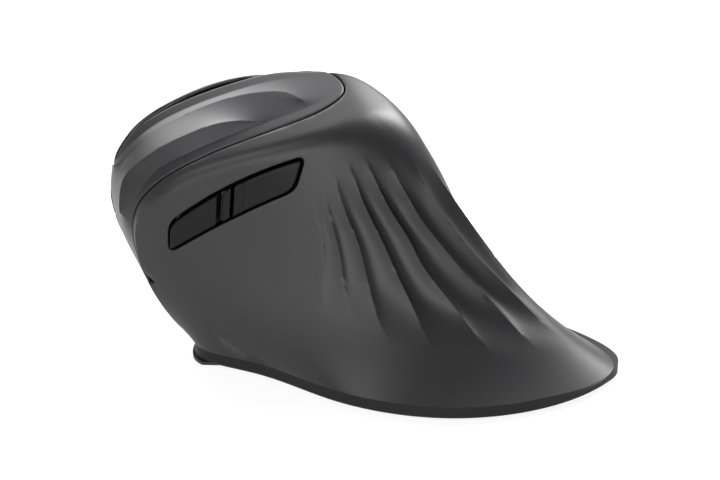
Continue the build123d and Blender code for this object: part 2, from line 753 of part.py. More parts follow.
with BuildPart() as wheel_carrier:
    half = board_slot[1] - 0.2 + carrier_bar[2]
    block(slope, carrier_x, (-half, half), carrier_z)
    for side in (-1, 1):
        near, far = sorted((side * (half - carrier_bar[2]), side * half))
        block(slope, (wheel_x - ear[0], wheel_x + ear[0]), (near, far), (carrier_z[1], ear[1]))
        rod(slope, (guide[0], side * guide[1]), guide[2] + running, carrier_z, Mode.SUBTRACT)
    block(slope, (carrier_x[0] + carrier_bar[0], carrier_x[1] - carrier_bar[1]),
          (-half + carrier_bar[2], half - carrier_bar[2]), carrier_z, Mode.SUBTRACT)
    cross_rod((wheel_x, wheel_z), axle_radius + running, (-10, 10), Mode.SUBTRACT)
finish(wheel_carrier, "wheel_carrier")

with BuildPart() as wheel_encoder:
    block(slope, encoder_x, encoder_y, (board_top, board_top + encoder_height))
    block(slope, around(wheel_x, 2 * axle_tip, running), (encoder_y[1] - 2.6, encoder_y[1]),
          (wheel_z - axle_tip - plunger_rise, wheel_z + axle_tip + running), Mode.SUBTRACT)
finish(wheel_encoder, "wheel_encoder")

with BuildPart() as ribbon_cable:
    with BuildSketch(Plane.XZ.offset(-23.5)):
        with BuildLine():
            Polyline((-3, main_top), (-3, 18.6), (12.6, 18.9), (13.2, 21.2), (13.5, 21.1),
                     (12.9, 18.6), (-2.7, 18.3), (-2.7, main_top), close=True)
        make_face()
    extrude(amount=-5)
finish(ribbon_cable, "ribbon_cable")
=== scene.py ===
import math

import bpy
import numpy as np
from bpy.props import FloatProperty, FloatVectorProperty, PointerProperty
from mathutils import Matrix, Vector


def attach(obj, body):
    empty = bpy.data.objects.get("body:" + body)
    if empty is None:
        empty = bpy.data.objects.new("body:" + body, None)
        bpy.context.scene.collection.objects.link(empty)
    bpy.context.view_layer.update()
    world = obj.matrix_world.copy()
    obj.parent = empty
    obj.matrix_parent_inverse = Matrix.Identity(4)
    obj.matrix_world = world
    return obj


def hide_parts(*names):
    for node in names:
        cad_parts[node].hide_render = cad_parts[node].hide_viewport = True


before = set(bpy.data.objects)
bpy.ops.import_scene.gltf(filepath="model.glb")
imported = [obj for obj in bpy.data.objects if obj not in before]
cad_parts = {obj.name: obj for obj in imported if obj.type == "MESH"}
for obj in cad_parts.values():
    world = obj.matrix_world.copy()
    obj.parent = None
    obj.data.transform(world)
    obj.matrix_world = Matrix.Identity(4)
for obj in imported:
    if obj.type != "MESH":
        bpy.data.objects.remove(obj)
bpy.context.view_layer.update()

bl_info = {
    "name": "Upright mouse",
    "version": (1, 0, 0),
    "blender": (4, 5, 0),
    "location": "3D View > Sidebar > Mouse",
    "description": "Builds an upright right-hand mouse round its packed frame",
    "category": "Object",
}

# ------------------------------------------------------------ form of the body, in millimetres
LIP = 4.0              # joint between base and shell
SAIL_TOP = 74.0        # the outline has shrunk to the crown stops here
CROWN_X = -13.0        # plane of the crown's side profile
CLIMB = np.array([1.0, 9 / 16, 6.4 / 16])   # way in which that profile is carried across
MIDDLE_X = -4.5        # middle of the crown, towards which its surface runs from the edge
MIDDLE_START, MIDDLE_END = 32.0, 25.0       # where that middle starts and ends short
GAP = 0.35             # between neighbouring covers
PANEL_FOOT = 20.0      # height of the top panel's lower end
PANEL_GAP = 0.4        # between the top panel's outline and the centre strip
BUTTON_GAP = 0.55      # between that outline and the main buttons
PALM_SIDE = -4.0       # the palm side's opening doesn't reach past this x
STRIP = 6.0            # half width of the centre strip
RIM = 2.3              # width of the plain rim of the top panel
WHEEL_AT = (-2.0, -4.75)   # axle of the wheel: along the slope, and out of it
WHEEL_OPENING = (12.2, 4.2, 1.6)    # half length, half width, corner
KEY_X = -20.4          # middle of the resolution button, behind the wheel
KEY_OPENING = (4.45, 2.45, 2.4)
ZONE_REAR, ZONE_LOW = -25.7, -24.3  # ends of the main buttons on the palm slope
SPLIT_Y, SPLIT_Z, SPLIT_LEAN = 28.9, 48.6, 13.4     # line between the two side buttons
EDGE_ROLL = 1.0        # reach of the body's rounded edge on the top panel
FILM_ROUNDS = 700      # enough for the terraces' surface to come to rest
FAR = 20.0             # distance from a line where it isn't worked out

# Stops of the outline, clockwise from the rear: skirt point, crown point, share of the quick
# flare, power of the quick flare, power of the slow lean, reach of the rolled edge down the
# wall and across the crown.
STOPS = np.array([
    (-19, -60, -3, -1, 0.30, 5.0, 0.85, 7.0, 4.6),
    (-34, -42, -9, 1, 0.34, 5.0, 0.78, 7.0, 4.2),
    (-39, -20, -13.5, 10, 0.50, 5.5, 0.80, 3.6, 2.3),
    (-32, 6, -15.3, 26, 0.75, 6.0, 0.60, 2.6, 2.0),
    (-20, 26, -15.3, 41, 1.00, 5.0, 0.35, 2.6, 2.0),
    (-12, 40, -12.5, 54, 1.00, 3.2, 0.30, 2.4, 1.6),
    (0, 40, -5, 65.5, 1.00, 6.4, 4.00, 1.6, 1.2),
    (26, 34, -1, 55, 0.00, 3.0, 1.05, 0.9, 0.8),
    (38, 10, 0.5, 36, 0.00, 3.0, 0.95, 1.0, 0.9),
    (29, -20, 0.5, 14, 0.15, 4.0, 0.90, 2.0, 1.4),
    (8, -42.5, 1.5, 3, 0.38, 5.0, 0.88, 5.0, 3.4),
])
# Side profile of the crown and the bow, as (y, z) from the rear.
CROWN = np.array([
    (-22, 54), (-12, 60.4), (-4, 63.2), (5, 63.3), (15, 61.4), (25.5, 58.0), (37, 53),
    (44, 48.6), (49, 43.2), (51.7, 38), (52.6, 33), (52.3, 28), (50.6, 21), (47.5, 14),
    (42, 5), (38, -2),
])
# Outline of the top panel, as (x, y).
PANEL = np.array([
    (3.0, 64), (3.6, 44), (3.6, 28), (3.2, 14), (1.2, 7), (-4, 4), (-9, 7.5), (-11.8, 15),
    (-12.7, 24), (-12.9, 34), (-12.6, 44), (-10.6, 53), (-7.0, 64),
])
# Sharp corners of the side buttons' slot, as (y, z), the middles of the sides that follow
# them, and the radius at the corners.
SLOT = np.array([(44.8, 37.5), (12.1, 56.3), (14.6, 47.8), (45.3, 29.3)])
SLOT_SIDES = np.array([(28.5, 49.0), (13.3, 52.1), (30.0, 39.4), (45.1, 33.4)])
SLOT_CORNER = 2.6

# Palm slope's frame: forward, up the slope, out of it.
SLOPE_AT = np.array([12.6, 38, 42])
SLOPE_OUT = np.array([0.88, 0.22, 0.42]) / np.linalg.norm([0.88, 0.22, 0.42])
SLOPE_ON = np.array([0, 1, 0]) - SLOPE_OUT * SLOPE_OUT[1]
SLOPE_ON = SLOPE_ON / np.linalg.norm(SLOPE_ON)
SLOPE_UP = np.cross(SLOPE_OUT, SLOPE_ON)


def smooth(low, high, value):
    """0 below low, 1 above high, and the cubic 3t^2 - 2t^3 between."""
    t = np.clip((value - low) / (high - low), 0, 1)
    return t * t * (3 - 2 * t)


def bend_matrix(knots, closed):
    """Matrix from a spline's stops to its second derivatives: each row says that the slope
    left of a stop equals the slope right of it."""
    step = np.diff(knots)
    count = len(step) if closed else len(knots)
    rows = range(count) if closed else range(1, count - 1)
    bend = np.eye(count)
    rise = np.zeros((count, count))
    for i in rows:
        before, after = (i - 1) % count, (i + 1) % count
        left, right = step[i - 1], step[i]
        bend[i] = 0
        bend[i, [before, i, after]] = left, 2 * (left + right), right
        rise[i, before] += 6 / left
        rise[i, i] -= 6 / left + 6 / right
        rise[i, after] += 6 / right
    return np.linalg.solve(bend, rise)


def walked(points):
    """Distance walked along a row of points."""
    return np.concatenate([[0], np.cumsum(np.linalg.norm(np.diff(points, axis=0), axis=1))])


def cubic(p, q, m, n, step, t):
    """Cubic between p and q with second derivatives m and n, at share t of a step."""
    s = 1 - t
    return s * p + t * q + ((s ** 3 - s) * m + (t ** 3 - t) * n) * step ** 2 / 6


def curve(points, at):
    """Natural spline through points, at distances walked along them."""
    knots = walked(points)
    bends = bend_matrix(knots, False) @ points
    i = np.clip(np.searchsorted(knots, at, side="right") - 1, 0, len(points) - 2)
    step = np.diff(knots)[i][..., None]
    t = ((at - knots[i])[..., None]) / step
    return cubic(points[i], points[i + 1], bends[i], bends[i + 1], step, t)


SKIRT_STEPS = np.diff(walked(np.vstack([STOPS[:, :2], STOPS[:1, :2]])))
SKIRT_BENDS = bend_matrix(walked(np.vstack([STOPS[:, :2], STOPS[:1, :2]])), True)
CROWN_LENGTH = walked(CROWN)[-1]
CROWN_FINE = curve(CROWN, np.linspace(0, CROWN_LENGTH, 900))
CROWN_STEP = CROWN_LENGTH / (len(CROWN_FINE) - 1)


def wall(u, z):
    """Wall of the body. u counts the stops round the outline and z is the height. Each stop
    runs from its skirt point to its crown point by share * (1-r)^flare + (1-share) *
    (1-r)^lean, r being the height's share, and a closed spline goes through the stops."""
    r = np.clip((z - LIP) / (SAIL_TOP - LIP), 0, 0.999)[..., None]
    share, flare, lean = STOPS[:, 4], STOPS[:, 5], STOPS[:, 6]
    reach = (share * (1 - r) ** flare + (1 - share) * (1 - r) ** lean)[..., None]
    stops = STOPS[:, 2:4] + (STOPS[:, :2] - STOPS[:, 2:4]) * reach
    bends = np.einsum("ij,...jk->...ik", SKIRT_BENDS, stops)
    i = np.floor(u).astype(int) % len(STOPS)
    j = (i + 1) % len(STOPS)
    pick = [np.take_along_axis(a, k[..., None, None], -2)[..., 0, :]
            for a, k in ((stops, i), (stops, j), (bends, i), (bends, j))]
    flat = cubic(*pick, SKIRT_STEPS[i][..., None], (u - np.floor(u))[..., None])
    return np.concatenate([flat, np.broadcast_to(z, u.shape)[..., None]], -1)


def crown(x, q):
    """Crown and bow: the side profile at distance q along it, carried across to x along the
    climb."""
    side = curve(CROWN, np.clip(q, 0, CROWN_LENGTH))
    across = (x - CROWN_X)[..., None] * CLIMB
    return across + np.concatenate([np.full(x.shape + (1,), CROWN_X), side], -1)


def crown_place(points):
    """How far points lie outside the crown surface, and the distance q along its profile
    next to them: each is carried back along the climb to the profile's own plane."""
    flat = points.reshape(-1, 3)
    side = flat[:, 1:] - (flat[:, :1] - CROWN_X) * CLIMB[1:]
    along = np.gradient(CROWN_FINE, axis=0)
    along /= np.linalg.norm(along, axis=1)[:, None]
    out = np.empty(len(side))
    q = np.empty(len(side))
    for part in np.array_split(np.arange(len(side)), len(side) // 20000 + 1):
        away = ((side[part, None] - CROWN_FINE[None]) ** 2).sum(-1)
        k = away.argmin(1)
        d = side[part] - CROWN_FINE[k]
        out[part] = d[:, 1] * along[k, 0] - d[:, 0] * along[k, 1]
        q[part] = k * CROWN_STEP + (d * along[k]).sum(1)
    return out.reshape(points.shape[:-1]), q.reshape(points.shape[:-1])


def around_stops(column, u):
    """A column of STOPS, changing evenly from each stop to the next round the outline."""
    i = np.floor(u).astype(int) % len(STOPS)
    t = u - np.floor(u)
    return (1 - t) * STOPS[i, column] + t * STOPS[(i + 1) % len(STOPS), column]


EDGE_U = np.linspace(0, len(STOPS), 300 * len(STOPS) + 1)


def find_edge():
    """Height of the edge where the wall meets the crown, for each EDGE_U, by halving."""
    low = np.full(EDGE_U.shape, LIP)
    high = np.full(EDGE_U.shape, SAIL_TOP - 0.2)
    for _ in range(22):
        middle = (low + high) / 2
        outside = crown_place(wall(EDGE_U, middle))[0] > 0
        high = np.where(outside, middle, high)
        low = np.where(outside, low, middle)
    return low


EDGE_Z = find_edge()
EDGE = wall(EDGE_U, EDGE_Z)
EDGE_Q = crown_place(EDGE)[1]
# Rise of the edge for each millimetre along it, and the length that spaces columns evenly.
EDGE_RISE = np.abs(np.gradient(EDGE[:, 2])) / np.linalg.norm(np.gradient(EDGE, axis=0), axis=1)
ROUND = walked(EDGE) + walked(wall(EDGE_U, np.full(EDGE_U.shape, LIP)))


def evenly(first, last, count):
    """Places round the outline at even steps of its length, measured along the edge and
    along the skirt together."""
    u = np.concatenate([EDGE_U - len(STOPS), EDGE_U[1:]])
    length = np.concatenate([ROUND - ROUND[-1], ROUND[1:]])
    return np.interp(np.linspace(*np.interp((first, last), u, length), count), length, u)


def body(u, v):
    """Whole outer surface. v from 0 to 1 climbs the wall, from 1 to 2 rolls over the edge
    on the curve (1-t)^2 A + 2t(1-t) E + t^2 B, E being the sharp edge, and from 2 to 3
    crosses the crown towards its middle. Where the edge climbs steeply the roll is small."""
    u = u % len(STOPS)
    edge_z = np.interp(u, EDGE_U, EDGE_Z)
    edge_q = np.interp(u, EDGE_U, EDGE_Q)
    level = 0.08 + 0.92 * smooth(0.97, 0.80, np.interp(u, EDGE_U, EDGE_RISE))
    down, over = around_stops(7, u) * level, around_stops(8, u) * level
    edge = wall(u, edge_z)
    below = wall(u, edge_z - 1.0)
    slant = np.linalg.norm(edge - below, axis=-1)
    start_z = edge_z - down / slant
    middle_q = np.clip(edge_q, MIDDLE_START, CROWN_LENGTH - MIDDLE_END)
    across = np.stack([MIDDLE_X - edge[..., 0], middle_q - edge_q], -1)
    length = np.linalg.norm(across, axis=-1)
    roll = np.clip(over / length, 0, 0.8)
    t = np.clip(v - 1, 0, 1)
    s = np.clip(v - 2, 0, 1)
    rise = wall(u, LIP + (start_z - LIP) * np.clip(v, 0, 1))
    start = wall(u, start_z)
    share = roll + (1 - roll) * s
    end = crown(edge[..., 0] + across[..., 0] * share, edge_q + across[..., 1] * share)
    landing = crown(edge[..., 0] + across[..., 0] * roll, edge_q + across[..., 1] * roll)
    t = t[..., None]
    turn = (1 - t) ** 2 * start + 2 * t * (1 - t) * edge + t ** 2 * landing
    return np.where(v[..., None] <= 1, rise, np.where(v[..., None] <= 2, turn, end))


# ------------------------------------------------------------ meshes
def sheet(u, v):
    """Grid of parameters u by v as corner points and triangles."""
    points = np.stack(np.meshgrid(u, v, indexing="ij"), -1).reshape(-1, 2)
    index = np.arange(len(points)).reshape(len(u), len(v))
    a, b, c, d = index[:-1, :-1], index[1:, :-1], index[1:, 1:], index[:-1, 1:]
    faces = np.stack([np.stack([a, b, c], -1), np.stack([a, c, d], -1)], 2)
    return points, faces.reshape(-1, 3)


def score(points, faces, value, tiny=0.004):
    """Cuts triangles along the line where value is nothing. A cut corner lies on its side
    of the triangle at the share value_a / (value_a - value_b)."""
    value = np.where(np.abs(value) < tiny, 0, value)
    sign = np.sign(value)[faces]
    mixed = (sign.min(1) < 0) & (sign.max(1) > 0)
    cut, sign = faces[mixed], sign[mixed]
    total = sign.sum(1)
    on_line = (sign == 0).any(1)
    alone = np.where(on_line, (sign == 0).argmax(1), (sign == -total[:, None]).argmax(1))
    row = np.arange(len(cut))
    a, b, c = cut[row, alone], cut[row, (alone + 1) % 3], cut[row, (alone + 2) % 3]
    sides = np.concatenate([np.stack([a, b], 1)[~on_line], np.stack([a, c], 1)[~on_line],
                            np.stack([b, c], 1)[on_line]])
    pairs, where = np.unique(np.sort(sides, 1), axis=0, return_inverse=True)
    where = where.reshape(-1) + len(points)
    p, q = pairs[:, 0], pairs[:, 1]
    t = (value[p] / (value[p] - value[q]))[:, None]
    n = int((~on_line).sum())
    ab, ac, bc = where[:n], where[n:2 * n], where[2 * n:]
    a1, b1, c1 = a[~on_line], b[~on_line], c[~on_line]
    a2, b2, c2 = a[on_line], b[on_line], c[on_line]
    parts = [faces[~mixed]] + [np.stack(s, 1) for s in (
        (a1, ab, ac), (ab, b1, c1), (ab, c1, ac), (a2, b2, bc), (a2, bc, c2))]
    return np.concatenate([points, points[p] + (points[q] - points[p]) * t]), np.concatenate(parts)


def keep(points, faces, value):
    """Keeps the triangles whose middles have a value above nothing, and drops loose points."""
    faces = faces[value(points[faces].mean(1)) > 0]
    used, faces = np.unique(faces, return_inverse=True)
    return points[used], faces.reshape(-1, 3)


def gathered(vectors, faces, count):
    """Unit vector at each corner: the sum of the vectors of the triangles round it."""
    total = np.stack([sum(np.bincount(faces[:, k], vectors[:, axis], count) for k in range(3))
                      for axis in range(3)], -1)
    return total / np.maximum(np.linalg.norm(total, axis=1), 1e-12)[:, None]


def normals(place, faces):
    """Unit normal at each corner from its triangles' normals, by area, then evened out: each
    becomes the mean of those of the triangles round it, whose own are the means of their
    corners'. Done three times, it mends those of thin triangles."""
    a, b, c = (place[faces[:, k]] for k in range(3))
    out = gathered(np.cross(b - a, c - a), faces, len(place))
    for _ in range(3):
        out = gathered(out[faces].mean(1), faces, len(place))
    return out


def sides_of(faces):
    """The three sides of each triangle, as pairs of corners."""
    return np.concatenate([faces[:, [0, 1]], faces[:, [1, 2]], faces[:, [2, 0]]])


def rounded(distance, radius):
    """How far a rounded edge drops at a distance from the edge: a quarter circle."""
    d = np.clip(distance, 0, radius)
    return radius - np.sqrt(radius ** 2 - (radius - d) ** 2)


def line_place(spot, line):
    """Signed distance of flat points from a line, positive on its right, and the share of
    the line's length at the nearest place."""
    length = walked(line)
    best = np.full(len(spot), np.inf)
    side, share = np.zeros(len(spot)), np.zeros(len(spot))
    for k, (p, d) in enumerate(zip(line[:-1], line[1:] - line[:-1])):
        t = np.clip(((spot - p) @ d) / (d @ d), 0, 1)
        far = np.linalg.norm(spot - p - t[:, None] * d, axis=1)
        nearer = far < best - 1e-9
        best = np.where(nearer, far, best)
        side = np.where(nearer, (spot[:, 0] - p[0]) * d[1] - (spot[:, 1] - p[1]) * d[0], side)
        share = np.where(nearer, (length[k] + t * (length[k + 1] - length[k])) / length[-1], share)
    return best * np.sign(side), share


def distance_near(at, near, axes, line):
    """Signed distance of points from a line in the plane of two axes, worked out for those
    that are near it. The others get -FAR."""
    distance = np.full(len(at), -FAR)
    distance[near] = line_place(at[near][:, axes], line)[0]
    return distance


def finely(points, count):
    """Evenly spaced points of a spline through a row of points."""
    points = np.array(points)
    return curve(points, np.linspace(0, walked(points)[-1], count))


PANEL_LINE = finely(PANEL, 120)


def rounded_outline(corners, middles, radius):
    """Closed outline with bowed sides and rounded corners. A side is the curve
    (1-t)^2 a + 2t(1-t) c + t^2 b, with c placed so that it passes its middle; near a
    corner, such a curve with the corner as its c takes over."""
    t = np.linspace(0, 1, 11)[:, None]
    ahead = np.roll(corners, -1, axis=0)
    share = radius / np.linalg.norm(ahead - corners, axis=1)

    def bow(a, c, b, t):
        return (1 - t) ** 2 * a + 2 * t * (1 - t) * c + t ** 2 * b

    sides = [bow(a, 2 * m - (a + b) / 2, b, k + t * (1 - 2 * k))
             for a, b, m, k in zip(corners, ahead, middles, share)]
    turns = [bow(sides[k][-1], ahead[k], sides[(k + 1) % len(sides)][0], t[1:-1])
             for k in range(len(sides))]
    line = np.concatenate([part for pair in zip(sides, turns) for part in pair])
    return np.vstack([line, line[:1]])


SLOT_LINE = rounded_outline(SLOT, SLOT_SIDES, SLOT_CORNER)[::-1]


def walled(place, inner, faces):
    """Closed cover: the sheet, its inner copy turned over, and a strip that joins their
    free edges."""
    edges = sides_of(faces)
    code = edges[:, 0] * len(place) + edges[:, 1]
    back = edges[:, 1] * len(place) + edges[:, 0]
    a, b = edges[~np.isin(code, back)].T
    shift = len(place)
    strip = np.concatenate([np.stack([b, a, a + shift], 1), np.stack([b, a + shift, b + shift], 1)])
    return (np.concatenate([place, inner]),
            np.concatenate([faces, faces[:, ::-1] + shift, strip]))


PLAN_SHIFT = np.array([0.44, -0.13, 0.0])   # from the drawing to the part's own origin
SHARP = math.radians(38)    # edges that bend more than this stay sharp


def add_piece(node, place, faces, key, rides, slot):
    """Mesh object from corners in millimetres and triangles, which takes the place of one
    part of the frame, in the finish of that key."""
    name = f"{node}_skin"
    mesh = bpy.data.meshes.new(name)
    mesh.vertices.add(len(place))
    mesh.vertices.foreach_set("co", ((place + PLAN_SHIFT) / 1000).astype(np.float32).ravel())
    mesh.loops.add(faces.size)
    mesh.loops.foreach_set("vertex_index", faces.astype(np.int32).ravel())
    mesh.polygons.add(len(faces))
    mesh.polygons.foreach_set("loop_start", np.arange(0, faces.size, 3, dtype=np.int32))
    mesh.update(calc_edges=True)
    mesh.validate()
    mesh.polygons.foreach_set("use_smooth", np.ones(len(mesh.polygons), bool))
    mesh.set_sharp_from_angle(angle=SHARP)
    mesh.materials.append(coloured(key))
    obj = bpy.data.objects.new(name, mesh)
    bpy.context.scene.collection.objects.link(obj)
    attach(obj, rides)
    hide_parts(node)


# ------------------------------------------------------------ fields: distance inside a line
def panel_in(at):
    """Inside the top panel's outline, seen from above."""
    return distance_near(at, (at[:, 0] > -16.5) & (at[:, 0] < 7), (0, 1), PANEL_LINE)


def local(at):
    """Place on the palm slope: forward, up the slope and out of it."""
    away = at - SLOPE_AT
    return away @ SLOPE_ON, away @ SLOPE_UP, away @ SLOPE_OUT


def zone_in(at):
    """Inside the field of the main buttons, which ends at the panel's outline."""
    x, y, _ = local(at)
    inside = np.minimum(x - ZONE_REAR, y - ZONE_LOW)
    return np.minimum(inside, np.minimum(-panel_in(at), at[:, 0] - PALM_SIDE))


def beside_panel(gap):
    """Field on the palm side of the top panel, a gap from its outline, with its radius."""
    return lambda at: np.minimum(-panel_in(at) - gap, at[:, 0] - PALM_SIDE - 1), 0.3


def box_in(x, y, half_x, half_y, corner):
    """Inside a rounded rectangle about x = 0, y = 0."""
    dx, dy = np.abs(x) - half_x + corner, np.abs(y) - half_y + corner
    outside = np.hypot(np.maximum(dx, 0), np.maximum(dy, 0))
    return corner - outside - np.minimum(np.maximum(dx, dy), 0)


def slot_in(at):
    """Inside the side buttons' slot, seen from the thumb."""
    return distance_near(at, (at[:, 0] < -10) & (at[:, 1] > 8) & (at[:, 2] > 24), (1, 2), SLOT_LINE)


def crown_side(at):
    """Distance outside a layer 1.2 mm under the crown, beside the bow, where the wall stays
    with the hand shell. Anywhere else it is FAR."""
    near = (at[:, 1] > 46) & (at[:, 0] < -9)
    outside = np.full(len(at), FAR)
    outside[near] = crown_place(at[near])[0] + 1.2
    return outside


def trim(points, faces, surface, fields):
    """Trims a sheet to where every field is positive, and cuts it along lines near each
    edge, so that a rounded edge has corners to bend at."""
    for field, radius in fields:
        points, faces = score(points, faces, field(surface(points)))
        points, faces = keep(points, faces, lambda p: field(surface(p)))
        for share in (0.12, 0.45, 1.0):
            points, faces = score(points, faces, field(surface(points)) - radius * share)
    return points, faces


def edge_drop(at, fields):
    """How far the rounded edges of a trimmed sheet lie below its surface."""
    return sum(rounded(field(at), radius) for field, radius in fields)


def on_body(points):
    """Body surface at rows of parameters."""
    return body(points[:, 0], points[:, 1])


def weld(points, place, faces):
    """Joins corners that lie in the same place, such as those of the two ends of a turn,
    and drops triangles that this closes up."""
    _, first, to = np.unique(np.round(place * 1000 + 0.371).astype(np.int64), axis=0,
                             return_index=True, return_inverse=True)
    faces = to.reshape(-1)[faces]
    open_ = (faces[:, 0] != faces[:, 1]) & (faces[:, 1] != faces[:, 2]) & (faces[:, 2] != faces[:, 0])
    return points[first], place[first], faces[open_]


# ------------------------------------------------------------ folds behind the thumb
# Crests of the folds, as (u, z) from top to bottom, in order towards the rear.
CRESTS = [
    [(2.40, 46.4), (2.36, 40.2), (2.38, 33.2), (2.50, 24.0)],
    [(2.23, 43.6), (2.21, 36.5), (2.22, 31.2), (2.27, 24.8)],
    [(2.07, 49.1), (2.04, 42.8), (1.98, 35.9), (1.99, 29.6), (2.02, 24.0)],
    [(1.82, 50.5), (1.79, 46.4), (1.72, 40.8), (1.65, 34.5), (1.62, 28.7), (1.60, 24.4),
     (1.61, 18.1)],
    [(1.56, 52.6), (1.51, 48.3), (1.42, 42.4), (1.32, 36.8), (1.29, 32.9), (1.20, 26.7),
     (1.13, 22.3), (1.09, 17.7)],
    [(1.21, 53.1), (1.19, 50.6), (1.12, 46.0), (1.07, 42.2), (0.94, 36.3), (0.83, 30.9),
     (0.73, 25.9), (0.65, 20.9), (0.62, 16.7)],
    [(0.75, 49.5), (0.69, 44.4), (0.55, 36.0), (0.41, 29.3), (0.25, 21.6), (0.21, 17.1)],
    [(0.29, 48.0), (0.19, 43.2), (0.02, 35.2), (-0.11, 28.2), (-0.13, 25.3)],
]
# Share of the full depth, and heights of the top and the foot, of each scoop between crests.
FOLD_DEPTH = np.array([0.05, 0.16, 0.36, 0.60, 0.85, 1.00, 1.10, 0.95, 0.50])
FOLD_TOP = np.array([49, 50, 50, 54, 56, 57, 57, 54, 52])
FOLD_END = np.array([20, 20, 20, 16, 14, 13, 13, 14, 16])
FADE = 13.0            # height over which the folds fade at either end
HOLLOW = 0.9           # depth of the hollow below the crease
U_STEP = 22.0          # millimetres from one stop to the next, about


def crest_spline(points):
    """Spline through the points of a crest, run on past both ends, from its foot up, with u
    stretched to millimetres."""
    line = np.array(points[::-1]) * (U_STEP, 1)
    line = np.vstack([2 * line[0] - line[1], line, 2 * line[-1] - line[-2]])
    return curve(line, np.linspace(0, walked(line)[-1], 60)) / (U_STEP, 1)


CREST_LINES = [crest_spline(points) for points in CRESTS]


def crest_u(number, z):
    """Place round the outline of one crest at height z."""
    return np.interp(z, CREST_LINES[number][:, 1], CREST_LINES[number][:, 0])


def fold_drop(u, z):
    """Depth of the folds. Between neighbouring crests the wall is scooped by
    depth * 4g(1-g), g being the share of the way from crest to crest to the power 0.7, so
    that each scoop is steep behind its crest and eases out towards the next one. The
    scoops fade in below the top of the folds and out towards the skirt."""
    crests = np.stack([crest_u(k, z) for k in range(len(CRESTS))], -1)
    crests = np.concatenate([crests[..., :1] + 0.35, crests, crests[..., -1:] - 0.55], -1)
    drop = np.zeros(u.shape)
    for k in range(crests.shape[-1] - 1):
        f = (crests[..., k] - u) / (crests[..., k] - crests[..., k + 1])
        inside = (f > 0) & (f < 1)
        g = np.clip(f, 0, 1) ** 0.7
        foot = FOLD_END[k] - 2
        fade = smooth(FOLD_TOP[k], FOLD_TOP[k] - FADE, z) * smooth(foot, foot + FADE, z)
        drop = np.where(inside, FOLD_DEPTH[k] * 4 * g * (1 - g) * fade, drop)
    return drop


def crease_height(u):
    """Height of the crease above the skirt, over which the wall turns under."""
    return np.interp(u, [2.3, 3.2, 3.7, 4.0, 4.16, 4.3], [4.0, 4.05, 4.7, 7.2, 10.6, 12.5])


def under_drop(u, z):
    """Hollow below the crease: depth * sin(pi * f^0.6), f being the share of the way down
    from the crease to the joint with the base."""
    u = u % len(STOPS)
    top = crease_height(u)
    f = np.clip((top - z) / np.maximum(top - LIP, 0.01), 0, 1)
    depth = HOLLOW * smooth(3.3, 3.9, u) * smooth(4.5, 4.1, u)
    return depth * np.sin(math.pi * f ** 0.6)


# ------------------------------------------------------------ terraces of the top panel
# Edges of the terraces, as (x, q) on the crown, from their rear ends forward.
EDGE_A = [(-6.4, 34.6), (-4.1, 36.2), (-2.4, 40.2), (-1.2, 47.0), (-0.9, 57.2), (-1.2, 68.1),
          (-1.0, 76.3), (-0.3, 81.7), (3.3, 84.7), (7.0, 87.0)]
EDGE_B = [(-11.6, 44.3), (-9.8, 45.8), (-8.2, 50.5), (-7.7, 55.3), (-7.3, 62.9), (-6.8, 71.1),
          (-5.8, 77.7), (-5.2, 81.4), (-6.2, 84.8), (-8.1, 88.4), (-11.6, 89.8), (-15.0, 90.6)]


LINE_A, LINE_B = finely(EDGE_A, 70), finely(EDGE_B, 60)
EDGE_LINE = np.stack([EDGE[::12, 0], EDGE_Q[::12]], -1)
NEAR_EDGE = EDGE_LINE[(EDGE_U[::12] > 4.3) & (EDGE_U[::12] < 5.35)]


def on_crown(points):
    """Crown surface at rows of parameters (x, q)."""
    return crown(points[:, 0], points[:, 1])


def rim_in(points):
    """Distance inside the panel's plain rim, which narrows to nothing on the bow."""
    return panel_in(on_crown(points)) - GAP - RIM * smooth(90, 70, points[:, 1])


def settled(place, faces, height, held):
    """Heights of a soap film: each free corner takes, again and again, the mean of its
    neighbours' heights, weighted by one over their distances."""
    a, b = np.unique(np.sort(sides_of(faces), 1), axis=0).T
    pull = 1 / np.maximum(np.linalg.norm(place[a] - place[b], axis=1), 0.05)
    count = len(place)
    total = np.bincount(a, pull, count) + np.bincount(b, pull, count)
    for _ in range(FILM_ROUNDS):
        mean = np.bincount(a, pull * height[b], count) + np.bincount(b, pull * height[a], count)
        height = np.where(held, height, mean / total)
    return height


def terrace_rise(points, place, faces, rise_a, rise_b):
    """Height of the terraces above the crown: a soap film held at nothing on the rim, at
    rise_a along edge A and at rise_b along edge B, less the roll of the body's own edge,
    reach * (1 - sqrt(s / reach))^2 at a distance s inside that edge."""
    a = line_place(points, LINE_A)[0]
    b, share_b = line_place(points, LINE_B)
    q, inner = points[:, 1], rim_in(points)
    rim = (inner < 0.01) | (place[:, 2] < PANEL_FOOT + 1.5)
    on_a = (np.abs(a) < 0.02) & (q < 84)
    on_b = (np.abs(b) < 0.02) & (q < 88)
    rise_b = rise_b * smooth(0, 0.25, share_b)
    near_a, near_b, near_rim = (1 / (np.abs(way) + 0.1) for way in (a, b, inner))
    start = (rise_a * near_a + rise_b * near_b) / (near_a + near_b + near_rim)
    height = np.where(rim, 0, np.where(on_a, rise_a, np.where(on_b, rise_b, start)))
    height = settled(place, faces, height, rim | on_a | on_b)
    inside = np.abs(line_place(points, EDGE_LINE)[0])
    return height - EDGE_ROLL * (1 - np.sqrt(np.clip(inside / EDGE_ROLL, 0, 1))) ** 2


